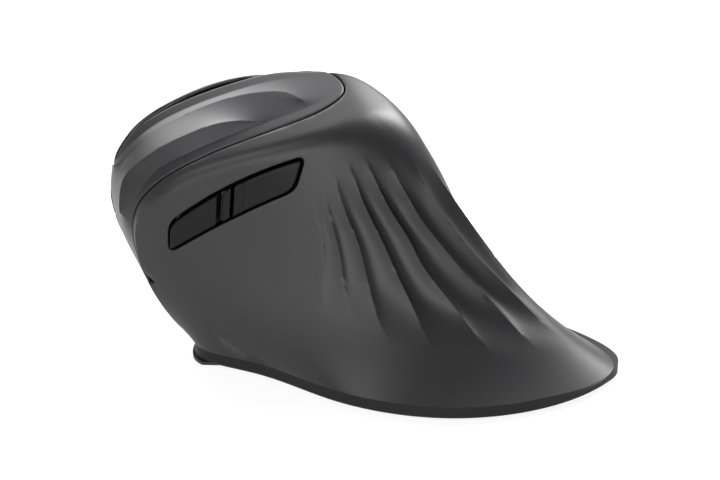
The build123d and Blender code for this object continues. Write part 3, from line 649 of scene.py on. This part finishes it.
# ------------------------------------------------------------ covers
def trimmed_cover(points, faces, surface, fields, depth, raised=None, axle=None):
    """Cover trimmed out of a surface, with rounded edges and a wall. raised gives how far
    it stands above the surface, from its parameters, places and triangles. With an axle,
    the wall stays in planes square to it, so that the cover can turn about it."""
    points, faces = trim(points, faces, surface, fields)
    points, place, faces = weld(points, surface(points), faces)
    out = normals(place, faces)
    if axle is not None:
        out = out - np.outer(out @ axle, axle)
    lift = -edge_drop(place, fields)
    if raised is not None:
        lift = lift + raised(points, place, faces)
    return walled(place + out * lift[:, None], place - out * depth, faces)


def body_sheet(u, v):
    """Grid over the body with its triangles facing out: u runs clockwise seen from above."""
    points, faces = sheet(u, v)
    return points, faces[:, ::-1]


def panel_field(at):
    """Inside the field of the top panel, which ends at its foot and at the wall's edge."""
    return np.minimum(np.minimum(panel_in(at), at[:, 2] - PANEL_FOOT), crown_side(at))


def hand_shell_mesh(depth):
    """Hand shell with the folds behind the thumb and the crease above the skirt. It ends
    at the top panel, at the main buttons and at the side buttons' slot."""
    u = np.concatenate([evenly(-0.8, 2.6, 110), evenly(2.6, 4.9, 150)[1:],
                        evenly(4.9, 10.2, 90)[1:]])
    v = np.concatenate([np.linspace(0, 0.12, 8), np.linspace(0.12, 0.5, 20)[1:],
                        np.linspace(0.5, 1, 50)[1:], np.linspace(1, 2, 9)[1:],
                        np.linspace(2, 3, 12)[1:]])
    points, faces = body_sheet(u, v)
    for number in range(len(CRESTS)):
        height = on_body(points)[:, 2]
        points, faces = score(points, faces, crest_u(number, height) - points[:, 0])
    points, faces = score(points, faces, on_body(points)[:, 2] - crease_height(points[:, 0]))
    fields = [
        (lambda at: -np.maximum(panel_field(at), zone_in(at)), 0.4),
        (lambda at: -slot_in(at), 0.25),
    ]

    def raised(points, place, faces):
        folds = fold_drop(points[:, 0], place[:, 2]) * depth * (points[:, 1] < 1)
        return -folds - under_drop(points[:, 0], place[:, 2])

    return trimmed_cover(points, faces, on_body, fields, 1.8, raised)


def top_panel_mesh(rise_a, rise_b):
    """Top panel with its rim and two terraces."""
    points, faces = sheet(np.linspace(-15.5, 5.5, 72), np.linspace(20, 108, 190))
    for line in (LINE_A, LINE_B):
        points, faces = score(points, faces, line_place(points, line)[0])
    points, faces = score(points, faces, rim_in(points))

    def edge_in(at):
        inside = line_place(np.stack([at[:, 0], crown_place(at)[1]], -1), NEAR_EDGE)[0]
        return np.where(at[:, 1] > 46, inside, FAR)

    fields = [(lambda at: np.minimum(np.minimum(panel_in(at), at[:, 2] - PANEL_FOOT) - GAP,
                                     edge_in(at)), 0.3)]
    return trimmed_cover(points, faces, on_crown, fields, 2.0,
                         lambda *piece: terrace_rise(*piece, rise_a, rise_b))


def palm_sheet():
    """Grid over the palm slope, the bow and the part of the crown next to them."""
    v = np.concatenate([np.linspace(0.15, 1, 60), np.linspace(1, 2, 9)[1:],
                        np.linspace(2, 2.3, 9)[1:], np.linspace(2.3, 3, 12)[1:]])
    return body_sheet(evenly(5.2, 9.9, 230), v)


def main_button_mesh(left):
    """Main button over the palm slope, above or below the centre strip."""
    low, high = (STRIP, FAR * 2) if left else (ZONE_LOW, -STRIP)
    fields = [
        (lambda at: local(at)[0] - ZONE_REAR - GAP, 0.4),
        beside_panel(BUTTON_GAP),
        (lambda at: np.minimum(local(at)[1] - low, high - local(at)[1]) - GAP, 0.4),
    ]
    return trimmed_cover(*palm_sheet(), on_body, fields, 1.2, axle=SLOPE_UP)


def strip_mesh():
    """Strip between the main buttons, with the openings for the wheel and the small key."""
    fields = [
        (lambda at: np.minimum(local(at)[0] - ZONE_REAR - GAP, STRIP - np.abs(local(at)[1])), 0.3),
        beside_panel(PANEL_GAP),
        (lambda at: -box_in(local(at)[0] - WHEEL_AT[0], local(at)[1], *WHEEL_OPENING), 0.3),
        (lambda at: -box_in(local(at)[0] - KEY_X, local(at)[1], *KEY_OPENING), 0.3),
    ]
    return trimmed_cover(*palm_sheet(), on_body, fields, 2.0, axle=SLOPE_UP)


def from_split(at):
    """Distance in front of the gap between the two side buttons."""
    return at[:, 1] - SPLIT_Y - (SPLIT_Z - at[:, 2]) / SPLIT_LEAN


# Profiles across the side buttons: distance from the gap, and height above the face.
FRONT_RIB = ((0.4, 2.0, 2.2, 2.9, 3.7), (0.25, 0.25, -1.3, -1.1, 0.0))
REAR_RIB = ((0.4, 2.4, 2.7), (0.25, 0.25, 0.0))


def side_button_mesh(front, proud):
    """One side button: it stands proud of the wall, and a rib beside the gap between the
    two is set off by a hollow on the front button and by a step on the rear one."""
    v = np.concatenate([np.linspace(0.5, 1, 100), np.linspace(1, 1.5, 8)[1:]])
    points, faces = body_sheet(evenly(2.25, 4.9, 220), v)
    way, rib = (1, FRONT_RIB) if front else (-1, REAR_RIB)
    for mark in rib[0][1:]:
        points, faces = score(points, faces, way * from_split(on_body(points)) - mark)
    fields = [(lambda at: slot_in(at) - 0.65, 0.4), (lambda at: way * from_split(at) - 0.4, 0.2)]

    def raised(points, place, faces):
        return proud + np.interp(way * from_split(place), *rib)

    return trimmed_cover(points, faces, on_body, fields, 3.0, raised)


def tyre_mesh(grooves, depth):
    """Rubber tyre, a profile carried round the axle: rounded shoulders, and a tread whose
    radius dips by depth * max(0, cos(grooves * angle)) ^ 4 across its middle."""
    angle = np.linspace(0, 2 * math.pi, grooves * 8 + 1)
    half, outer, inner, shoulder = 3.5, 11.5, 8.4, 1.0
    flat = half - shoulder
    t = np.linspace(0, math.pi / 2, 6)
    right = np.stack([flat + shoulder * np.sin(t), outer - shoulder + shoulder * np.cos(t)], -1)
    left = right[::-1] * (-1, 1)
    tread = np.stack([np.linspace(-flat, flat, 7), np.full(7, outer)], -1)
    foot = [(half, inner), (-half, inner)]
    ring = np.concatenate([foot[1:], left[:-1], tread, right[1:], foot])
    points, faces = sheet(angle, np.arange(len(ring), dtype=float))
    row = points[:, 1].astype(int)
    across, radius = ring[row, 0], ring[row, 1]
    dip = depth * np.maximum(np.cos(grooves * points[:, 0]), 0) ** 4
    radius = radius - dip * smooth(3.2, 2.4, np.abs(across)) * (radius > 10)
    place = (SLOPE_AT + SLOPE_ON * (WHEEL_AT[0] + radius * np.cos(points[:, 0]))[:, None]
             + SLOPE_UP * across[:, None]
             + SLOPE_OUT * (WHEEL_AT[1] + radius * np.sin(points[:, 0]))[:, None])
    _, place, faces = weld(points, place, faces)
    return place, faces


# ------------------------------------------------------------ materials
def linear(code):
    """sRGB hex to linear light: c / 12.92 up to 0.04045, else ((c + 0.055) / 1.055) ^ 2.4."""
    channels = [int(code[k:k + 2], 16) / 255 for k in (1, 3, 5)]
    return [c / 12.92 if c <= 0.04045 else ((c + 0.055) / 1.055) ** 2.4 for c in channels] + [1]


def add_node(tree, kind, settings=(), **inputs):
    """Adds a node, sets its options, and sets or links its inputs by name; an underscore in
    a name stands for a space."""
    node = tree.nodes.new(kind)
    for name, value in dict(settings).items():
        setattr(node, name, value)
    for name, value in inputs.items():
        socket = node.inputs[int(name[1:]) if name[1:].isdigit() else name.replace("_", " ")]
        if isinstance(value, bpy.types.NodeSocket):
            tree.links.new(value, socket)
        else:
            socket.default_value = value
    return node


def cleared(owner):
    """A material or a world with its nodes taken out, and its tree."""
    owner.use_nodes = True
    owner.node_tree.nodes.clear()
    return owner, owner.node_tree


MOTTLE = 6.0           # size of the slow change of shade, in millimetres


def grained(name, colour, roughness, grain, depth, shade=0.12, metallic=0.0, ior=1.5, coat=0.0):
    """Surface with a fine grain, whose size and depth are in millimetres, and with a faint
    slower change of shade."""
    material, tree = cleared(bpy.data.materials.new(name))
    place = add_node(tree, "ShaderNodeTexCoord").outputs["Object"]
    fine = add_node(tree, "ShaderNodeTexNoise", Vector=place, Scale=1000 / grain, Detail=2.0,
                    Roughness=0.6)
    slow = add_node(tree, "ShaderNodeTexNoise", Vector=place, Scale=1000 / MOTTLE, Detail=3.0)
    dark = [c * (1 - shade) for c in colour] + [1]
    light = [min(c * (1 + shade), 1) for c in colour] + [1]
    mix = add_node(tree, "ShaderNodeMix", {"data_type": "RGBA"}, _0=slow.outputs["Fac"],
                   _6=dark, _7=light)
    rough = add_node(tree, "ShaderNodeMapRange", Value=fine.outputs["Fac"],
                     To_Min=max(roughness - 0.05, 0.02), To_Max=min(roughness + 0.05, 1))
    bump = add_node(tree, "ShaderNodeBump", Strength=1.0, Distance=depth / 1000,
                    Height=fine.outputs["Fac"])
    shader = add_node(tree, "ShaderNodeBsdfPrincipled", Base_Color=mix.outputs[2],
                      Roughness=rough.outputs["Result"], Normal=bump.outputs["Normal"],
                      Metallic=metallic, IOR=ior, Coat_Weight=coat)
    add_node(tree, "ShaderNodeOutputMaterial", Surface=shader.outputs["BSDF"])
    return material


FINISHES = {
    # finish: real name, colour, roughness, grain in mm, grain depth in mm, further settings
    # Soft-touch lacquer over moulded ABS: nearly black grey with a broad, soft sheen.
    "shell": ("soft-touch lacquer on ABS", "#28282a", 0.42, 0.45, 0.008, {"shade": 0.06}),
    # Metallic lacquer over ABS: fine flakes give a slightly lighter, silkier sheen.
    "panel": ("metallic lacquer on ABS", "#3a3a3c", 0.40, 0.35, 0.008, {"metallic": 0.25}),
    # Moulded ABS with a fine spark-eroded texture: darker and a little glossier.
    "button": ("spark-eroded ABS", "#1b1b1c", 0.36, 0.40, 0.008, {}),
    # Polished black ABS: clear reflections, hardly any texture.
    "strip": ("polished black ABS", "#101011", 0.16, 1.2, 0.002, {"coat": 0.4}),
    # Moulded ABS with a coarser texture under the hand's reach.
    "base": ("textured ABS", "#101011", 0.50, 0.7, 0.016, {"ior": 1.36}),
    # Polished ABS under a hard coat: the thumb's keys look darker than the shell round them.
    "key": ("polished ABS", "#101011", 0.30, 0.5, 0.0008, {"ior": 1.30}),
    # Silicone rubber: matt and dark, dusty in its pores.
    "rubber": ("silicone rubber", "#161617", 0.70, 0.5, 0.020, {"ior": 1.41}),
    # Skived PTFE: waxy and a little translucent, faint scratches.
    "foot": ("skived PTFE", "#3a3b3d", 0.34, 1.6, 0.004, {"ior": 1.35}),
    # Glass-filled nylon: dull grey-black with a rough skin.
    "frame": ("glass-filled nylon", "#232427", 0.62, 0.6, 0.020, {}),
    # Moulded polyacetal: off-white, waxy.
    "acetal": ("polyacetal", "#d8d6cf", 0.38, 1.0, 0.004, {"shade": 0.04, "ior": 1.48}),
    # Solder mask over copper and glass cloth: glossy green, cloud-like shade.
    "board": ("solder mask on glass epoxy", "#1d4a31", 0.28, 1.4, 0.006, {"coat": 0.3}),
    # Epoxy moulding compound: matt black with a fine sand-like grain.
    "chip": ("epoxy moulding compound", "#191a1b", 0.60, 0.25, 0.010, {}),
    # Turned and nickel-plated steel: bright, faintly brushed.
    "steel": ("nickel-plated steel", "#b9babc", 0.26, 0.5, 0.003, {"metallic": 1.0}),
    # Printed film sleeve on the cell: smooth and plain.
    "sleeve": ("shrink film", "#4a4d52", 0.30, 3.0, 0.004, {"coat": 0.3}),
    # Flat cable: grey PVC.
    "cable": ("flat PVC cable", "#8d9196", 0.45, 1.0, 0.004, {}),
}

NODE_FINISH = {
    "base": ("base_shell", "battery_door", "receiver_cap"),
    "button": ("dpi_button",),
    "frame": ("inner_frame", "wheel_hub", "wheel_carrier"),
    "acetal": ("power_slider", "left_plunger", "right_plunger", "dpi_plunger", "middle_plunger",
               "forward_plunger", "back_plunger"),
    "board": ("main_circuit_board", "button_board", "side_board"),
    "chip": ("sensor_chip", "controller_chip", "power_switch", "click_switches", "dpi_switch",
             "middle_switch", "side_switches", "wheel_encoder"),
    "steel": ("battery_plate", "battery_spring", "receiver_plug", "base_screws", "pivot_pin"),
    "foot": ("front_foot", "rear_foot", "side_foot"),
    "sleeve": ("battery",),
    "cable": ("ribbon_cable",),
}


def finish(key, colour=None):
    """The finish of that key, made once."""
    name, code, roughness, grain, depth, more = FINISHES[key]
    found = bpy.data.materials.get(name)
    return found or grained(name, colour or linear(code)[:3], roughness, grain, depth, **more)


def lens_material():
    """Clear moulded polycarbonate: smooth, with faint flow lines in its gloss."""
    material, tree = cleared(bpy.data.materials.new("clear polycarbonate"))
    place = add_node(tree, "ShaderNodeTexCoord").outputs["Object"]
    flow = add_node(tree, "ShaderNodeTexNoise", Vector=place, Scale=300.0, Detail=2.0)
    rough = add_node(tree, "ShaderNodeMapRange", Value=flow.outputs["Fac"], To_Min=0.03,
                     To_Max=0.10)
    shader = add_node(tree, "ShaderNodeBsdfPrincipled", Base_Color=(0.9, 0.92, 0.93, 1),
                      Roughness=rough.outputs["Result"], IOR=1.58, Transmission_Weight=1.0)
    add_node(tree, "ShaderNodeOutputMaterial", Surface=shader.outputs["BSDF"])
    return material


# ------------------------------------------------------------ what a user would change
def colour_property(key, label):
    """Colour that a user can set for the finish of that key."""
    return FloatVectorProperty(name=label, description=f"Colour of the {label.lower()}",
                               subtype="COLOR", size=3, min=0, max=1,
                               default=linear(FINISHES[key][1])[:3])


def length_property(label, what, default, most):
    """Length that a user can set, given here in millimetres."""
    return FloatProperty(name=label, description=what, default=default / 1000, min=0,
                         max=most / 1000, unit="LENGTH")


class MOUSE_PG_sizes(bpy.types.PropertyGroup):
    fold_depth: length_property("Fold depth", "Depth of the deepest folds behind the thumb", 1.6, 2)
    rise_a: length_property("Upper terrace", "Height of its edge above the crown", 0.6, 2)
    rise_b: length_property("Lower terrace", "Height of its edge above the crown", 2.2, 3)
    button_proud: length_property("Side buttons", "How far they stand out of the wall", 0.6, 1.5)
    groove_depth: length_property("Wheel grooves", "Depth across the wheel's tyre", 0.6, 1)


class MOUSE_PG_colours(bpy.types.PropertyGroup):
    shell: colour_property("shell", "Hand shell")
    panel: colour_property("panel", "Top panel")
    button: colour_property("button", "Main buttons")
    key: colour_property("key", "Side buttons")
    strip: colour_property("strip", "Centre strip")
    base: colour_property("base", "Base")
    rubber: colour_property("rubber", "Wheel tyre")


def coloured(key):
    """A finish in the colour that the user has set for it."""
    return finish(key, list(getattr(bpy.context.scene.mouse_colours, key)))


# ------------------------------------------------------------ one operator for each piece
class MOUSE_OT_hand_shell(bpy.types.Operator):
    """Builds the hand shell, with the folds behind the thumb"""
    bl_idname = "mouse.hand_shell"
    bl_label = "Hand shell"

    def execute(self, context):
        cover = hand_shell_mesh(context.scene.mouse_sizes.fold_depth * 1000)
        add_piece("hand_shell", *cover, "shell", "body", "shell_plastic")
        return {"FINISHED"}


class MOUSE_OT_top_panel(bpy.types.Operator):
    """Builds the top panel with its two terraces"""
    bl_idname = "mouse.top_panel"
    bl_label = "Top panel"

    def execute(self, context):
        sizes = context.scene.mouse_sizes
        cover = top_panel_mesh(sizes.rise_a * 1000, sizes.rise_b * 1000)
        add_piece("top_panel", *cover, "panel", "body", "panel_plastic")
        return {"FINISHED"}


class MOUSE_OT_main_buttons(bpy.types.Operator):
    """Builds the left and the right main button"""
    bl_idname = "mouse.main_buttons"
    bl_label = "Main buttons"

    def execute(self, context):
        for node in ("left_button", "right_button"):
            cover = main_button_mesh(node == "left_button")
            add_piece(node, *cover, "button", node, "button_plastic")
        return {"FINISHED"}


class MOUSE_OT_centre_strip(bpy.types.Operator):
    """Builds the strip between the main buttons"""
    bl_idname = "mouse.centre_strip"
    bl_label = "Centre strip"

    def execute(self, context):
        add_piece("centre_strip", *strip_mesh(), "strip", "body", "accent_plastic")
        return {"FINISHED"}


class MOUSE_OT_side_buttons(bpy.types.Operator):
    """Builds the forward and the back button for the thumb"""
    bl_idname = "mouse.side_buttons"
    bl_label = "Side buttons"

    def execute(self, context):
        proud = context.scene.mouse_sizes.button_proud * 1000
        for node in ("forward_button", "back_button"):
            cover = side_button_mesh(node == "forward_button", proud)
            add_piece(node, *cover, "key", node, "button_plastic")
        return {"FINISHED"}


class MOUSE_OT_wheel(bpy.types.Operator):
    """Builds the grooved tyre of the scroll wheel"""
    bl_idname = "mouse.wheel"
    bl_label = "Wheel tyre"

    def execute(self, context):
        cover = tyre_mesh(36, context.scene.mouse_sizes.groove_depth * 1000)
        add_piece("wheel_tyre", *cover, "rubber", "wheel", "wheel_rubber")
        return {"FINISHED"}


class MOUSE_OT_inner_parts(bpy.types.Operator):
    """Gives every part that keeps its own shape its finish"""
    bl_idname = "mouse.inner_parts"
    bl_label = "Inner parts"

    def execute(self, context):
        for key, names in NODE_FINISH.items():
            for name in names:
                dress(name, finish(key))
        dress("sensor_lens", lens_material())
        return {"FINISHED"}


def dress(name, material):
    """Puts a material on a part that keeps its own shape."""
    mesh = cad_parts[name].data
    mesh.materials.clear()
    mesh.materials.append(material)


# ------------------------------------------------------------ stage
FLOOR_GLOSS, WORLD_GLOSS = 0.9, 0.16    # how white the floor and the world are in reflections
FLOOR_HALF = 6.0
CAMERA_TURN, CAMERA_RISE = math.radians(-87), math.radians(25)
CAMERA_AIM = Vector((-0.00656, -0.00013, 0.030))
CAMERA_DISTANCE, CAMERA_LENS = 0.420, 88.375


def whiteness(tree, gloss_share):
    """1 to the camera and through clear pieces, and a share of that in reflections."""
    path = add_node(tree, "ShaderNodeLightPath")
    gloss = add_node(tree, "ShaderNodeMath", {"operation": "MULTIPLY"},
                     _0=path.outputs["Is Glossy Ray"], _1=gloss_share)
    seen = add_node(tree, "ShaderNodeMath", {"operation": "MAXIMUM"},
                    _0=path.outputs["Is Camera Ray"], _1=path.outputs["Is Transmission Ray"])
    return add_node(tree, "ShaderNodeMath", {"operation": "MAXIMUM"}, _0=seen.outputs[0],
                    _1=gloss.outputs[0]).outputs[0]


def stage_material(name, glow, paint):
    """Pale studio card that looks white to the eye and in gloss, and keeps shadows."""
    material, tree = cleared(bpy.data.materials.new(name))
    strength = add_node(tree, "ShaderNodeMath", {"operation": "MULTIPLY"},
                        _0=whiteness(tree, FLOOR_GLOSS), _1=glow)
    card = add_node(tree, "ShaderNodeBsdfDiffuse", Color=(paint, paint, paint, 1))
    light = add_node(tree, "ShaderNodeEmission", Color=(1, 1, 1, 1), Strength=strength.outputs[0])
    both = add_node(tree, "ShaderNodeAddShader", _0=card.outputs[0], _1=light.outputs[0])
    add_node(tree, "ShaderNodeOutputMaterial", Surface=both.outputs[0])
    return material


def add_floor():
    """Square of pale card under the part."""
    mesh = bpy.data.meshes.new("floor")
    corners = [(x * FLOOR_HALF, y * FLOOR_HALF, 0) for x, y in ((-1, -1), (1, -1), (1, 1), (-1, 1))]
    mesh.from_pydata(corners, [], [(0, 1, 2, 3)])
    mesh.materials.append(stage_material("pale studio card", 0.9, 0.25))
    floor = bpy.data.objects.new("floor", mesh)
    bpy.context.scene.collection.objects.link(floor)


def add_world(level):
    """World that lights at a low level, and is white to the eye and faint in reflections."""
    world, tree = cleared(bpy.data.worlds.new("studio"))
    bpy.context.scene.world = world
    strength = add_node(tree, "ShaderNodeMapRange", Value=whiteness(tree, WORLD_GLOSS),
                        To_Min=level, To_Max=1.0)
    back = add_node(tree, "ShaderNodeBackground", Color=(1, 1, 1, 1),
                    Strength=strength.outputs["Result"])
    add_node(tree, "ShaderNodeOutputWorld", Surface=back.outputs[0])


LAMPS = [
    # name, direction, distance, width, height, watts; a lamp looks at a point over the origin
    ("soft box above", (0.26, 0.20, 0.94), 0.60, 0.26, 0.30, 0.45),
    ("key over the bow", (0.68, 0.46, 0.56), 0.60, 0.38, 0.42, 3.1),
    ("low card on the thumb side", (-0.98, 0.18, 0.03), 0.80, 0.60, 0.26, 2.9),
    ("card over the front", (-0.60, 0.58, 0.55), 0.60, 0.30, 0.20, 0.8),
    ("rim behind the palm", (0.52, -0.47, 0.71), 0.60, 0.28, 0.45, 7.0),
]


def add_lamps():
    """Area lamps round the part, each facing it."""
    for name, way, distance, width, height, watts in LAMPS:
        light = bpy.data.lights.new(name, "AREA")
        light.shape = "RECTANGLE"
        light.size, light.size_y, light.energy = width, height, watts
        way = Vector(way).normalized()
        lamp = bpy.data.objects.new(name, light)
        lamp.location = way * distance + Vector((0, 0, 0.03))
        lamp.rotation_euler = way.to_track_quat("Z", "Y").to_euler()
        bpy.context.scene.collection.objects.link(lamp)


def add_camera():
    """Camera to the thumb side and a little above, aimed at the middle of the body."""
    camera = bpy.data.cameras.new("camera")
    camera.sensor_width = 36
    camera.lens = CAMERA_LENS
    camera.shift_x, camera.shift_y = -2 / 720, 2 / 720
    back = Vector((math.sin(CAMERA_TURN) * math.cos(CAMERA_RISE),
                   -math.cos(CAMERA_TURN) * math.cos(CAMERA_RISE), math.sin(CAMERA_RISE)))
    seat = bpy.data.objects.new("camera", camera)
    seat.location = CAMERA_AIM + back * CAMERA_DISTANCE
    seat.rotation_euler = back.to_track_quat("Z", "Y").to_euler()
    bpy.context.scene.collection.objects.link(seat)
    bpy.context.scene.camera = seat


class MOUSE_OT_stage(bpy.types.Operator):
    """Sets up the floor, the lamps, the world and the camera"""
    bl_idname = "mouse.stage"
    bl_label = "Stage"

    def execute(self, context):
        add_floor()
        add_world(0.10)
        add_lamps()
        add_camera()
        context.scene.view_settings.view_transform = "Standard"
        return {"FINISHED"}


OPERATORS = (MOUSE_OT_hand_shell, MOUSE_OT_top_panel, MOUSE_OT_main_buttons,
             MOUSE_OT_centre_strip, MOUSE_OT_side_buttons, MOUSE_OT_wheel,
             MOUSE_OT_inner_parts, MOUSE_OT_stage)


class MOUSE_PT_panel(bpy.types.Panel):
    """Lists the mouse's pieces and what can be changed on them"""
    bl_idname = "MOUSE_PT_panel"
    bl_label = "Upright mouse"
    bl_space_type = "VIEW_3D"
    bl_region_type = "UI"
    bl_category = "Mouse"

    def draw(self, context):
        for group in (context.scene.mouse_sizes, context.scene.mouse_colours):
            for name in group.__annotations__:
                self.layout.prop(group, name)
        for operator in OPERATORS:
            self.layout.operator(operator.bl_idname)


CLASSES = (MOUSE_PG_sizes, MOUSE_PG_colours) + OPERATORS + (MOUSE_PT_panel,)


def register():
    for each in CLASSES:
        bpy.utils.register_class(each)
    bpy.types.Scene.mouse_sizes = PointerProperty(type=MOUSE_PG_sizes)
    bpy.types.Scene.mouse_colours = PointerProperty(type=MOUSE_PG_colours)


def unregister():
    del bpy.types.Scene.mouse_sizes
    del bpy.types.Scene.mouse_colours
    for each in reversed(CLASSES):
        bpy.utils.unregister_class(each)


def main():
    register()
    for operator in OPERATORS:
        group, name = operator.bl_idname.split(".")
        getattr(getattr(bpy.ops, group), name)()


if __name__ == "__main__":
    main()
